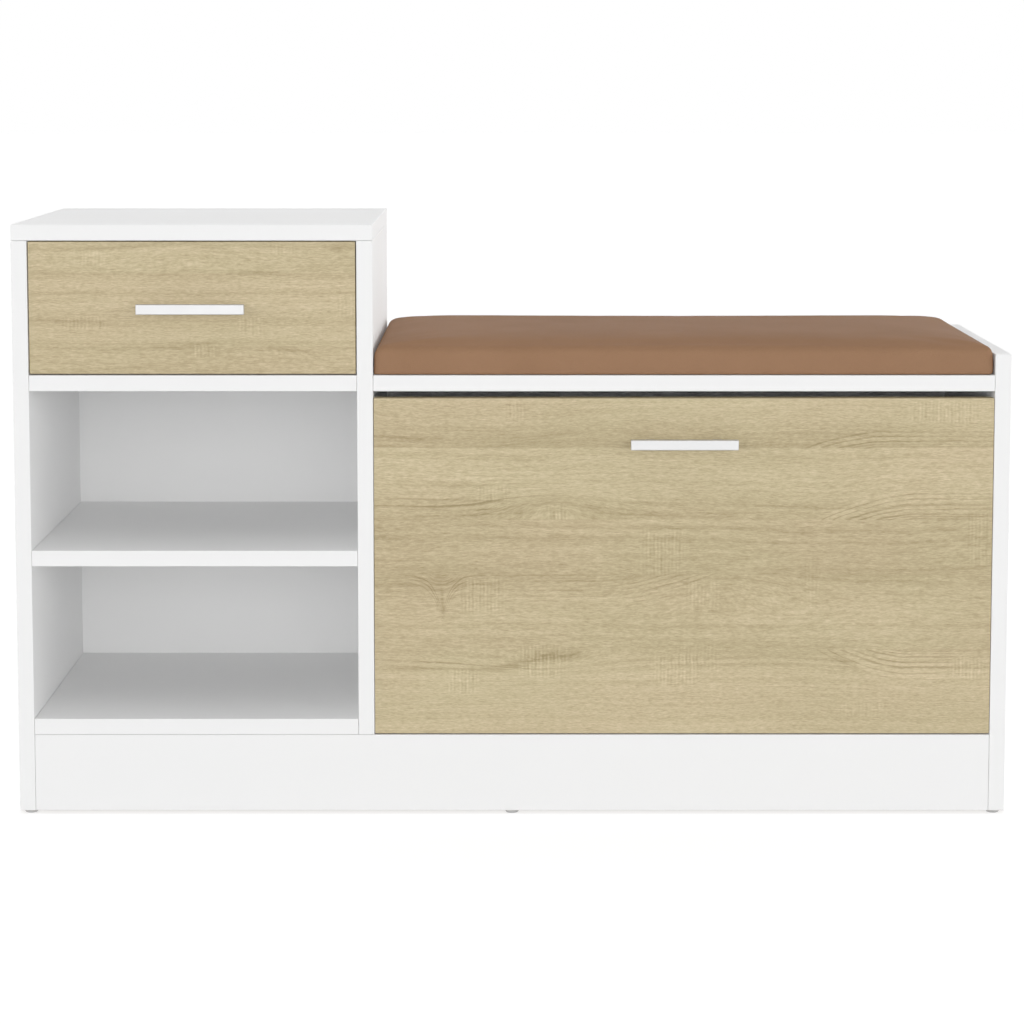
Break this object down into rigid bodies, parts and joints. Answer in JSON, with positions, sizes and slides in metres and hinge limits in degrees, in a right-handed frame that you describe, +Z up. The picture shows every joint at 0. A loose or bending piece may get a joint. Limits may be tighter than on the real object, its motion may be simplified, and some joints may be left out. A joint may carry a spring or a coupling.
{
  "type": "entryway bench",
  "caption": "Entryway shoe bench: padded seat over a tip-out flap with a shoe rack, beside a drawer over open shelves, white boards with oak-look fronts.",
  "frame": {"origin": "on the floor, under the middle of the whole object's box, handles included", "axes": "+X to the right of a person who faces the front, the front faces -Y, +Z up"},
  "size_m": [0.94, 0.34, 0.563],
  "materials": {
    "white_board": "satin white laminate on chipboard",
    "oak_board": "satin oak-look laminate on chipboard",
    "hardboard": "white lacquered hardboard",
    "fibreboard": "raw fibreboard",
    "handle": "satin nickel",
    "rail_steel": "white powder coat",
    "zinc": "zinc plated",
    "roller_plastic": "smooth white plastic",
    "rack_plastic": "fine-grained black plastic",
    "glide_plastic": "grey plastic",
    "leather": "brown artificial leather, fine grain",
    "foam": "open-cell foam"
  },
  "bodies": {
    "carcass": {"left_side_panel": "white_board", "middle_partition": "white_board", "right_side_panel": "white_board", "top_panel": "white_board", "upper_shelf": "white_board", "middle_shelf": "white_board", "left_bottom_panel": "white_board", "right_bottom_panel": "white_board", "front_plinth": "white_board", "rear_plinth": "white_board", "seat_board": "white_board", "left_back_panel": "hardboard", "right_back_panel": "hardboard", "glide_front_left": "glide_plastic", "glide_front_middle": "glide_plastic", "glide_front_right": "glide_plastic", "glide_rear_left": "glide_plastic", "glide_rear_middle": "glide_plastic", "glide_rear_right": "glide_plastic", "cushion_base": "fibreboard", "cushion_foam": "foam", "cushion_cover": "leather", "cushion_screw_1": "zinc", "cushion_screw_2": "zinc", "cushion_screw_3": "zinc", "cushion_screw_4": "zinc", "cabinet_rail_left": "rail_steel", "cabinet_rail_right": "rail_steel", "pivot_bush_left": "roller_plastic", "pivot_bush_right": "roller_plastic", "stop_peg_left": "zinc", "stop_peg_right": "zinc"},
    "drawer": {"drawer_front": "oak_board", "drawer_left_side": "white_board", "drawer_right_side": "white_board", "drawer_back": "white_board", "drawer_bottom": "hardboard", "drawer_handle": "handle", "drawer_handle_screw_1": "zinc", "drawer_handle_screw_2": "zinc", "drawer_rail_left": "rail_steel", "drawer_rail_right": "rail_steel"},
    "flap_rack": {"flap_front": "oak_board", "flap_handle": "handle", "flap_handle_screw_1": "zinc", "flap_handle_screw_2": "zinc", "pivot_pin_left": "zinc", "pivot_pin_right": "zinc", "rack_cheek_left": "rack_plastic", "rack_cheek_right": "rack_plastic", "rack_lower_tray": "rack_plastic", "rack_upper_tray": "rack_plastic"},
    "front_roller_left": {"front_roller_left": "roller_plastic"},
    "front_roller_right": {"front_roller_right": "roller_plastic"},
    "rear_roller_left": {"rear_roller_left": "roller_plastic"},
    "rear_roller_right": {"rear_roller_right": "roller_plastic"}
  },
  "joints": [
    {"name": "drawer_slide", "type": "slide", "parent": "carcass", "child": "drawer", "axis": [0, -1, 0], "range_m": [0, 0.232]},
    {"name": "flap_tilt", "type": "hinge", "parent": "carcass", "child": "flap_rack", "pos_m": [0.162, -0.1425, 0.108], "axis": [1, 0, 0], "range_deg": [0, 46]},
    {"name": "front_roller_left_spin", "type": "hinge", "parent": "carcass", "child": "front_roller_left", "pos_m": [-0.4495, -0.121, 0.4395], "axis": [1, 0, 0], "continuous": true},
    {"name": "front_roller_right_spin", "type": "hinge", "parent": "carcass", "child": "front_roller_right", "pos_m": [-0.1515, -0.121, 0.4395], "axis": [1, 0, 0], "continuous": true},
    {"name": "rear_roller_left_spin", "type": "hinge", "parent": "drawer", "child": "rear_roller_left", "pos_m": [-0.448, 0.129, 0.4395], "axis": [1, 0, 0], "continuous": true},
    {"name": "rear_roller_right_spin", "type": "hinge", "parent": "drawer", "child": "rear_roller_right", "pos_m": [-0.153, 0.129, 0.4395], "axis": [1, 0, 0], "continuous": true}
  ],
  "couplings": [
    {"joint": "front_roller_left_spin", "follows": "drawer_slide", "rad_per_m": 125},
    {"joint": "front_roller_right_spin", "follows": "drawer_slide", "rad_per_m": 125},
    {"joint": "rear_roller_left_spin", "follows": "drawer_slide", "rad_per_m": 125},
    {"joint": "rear_roller_right_spin", "follows": "drawer_slide", "rad_per_m": 125}
  ]
}
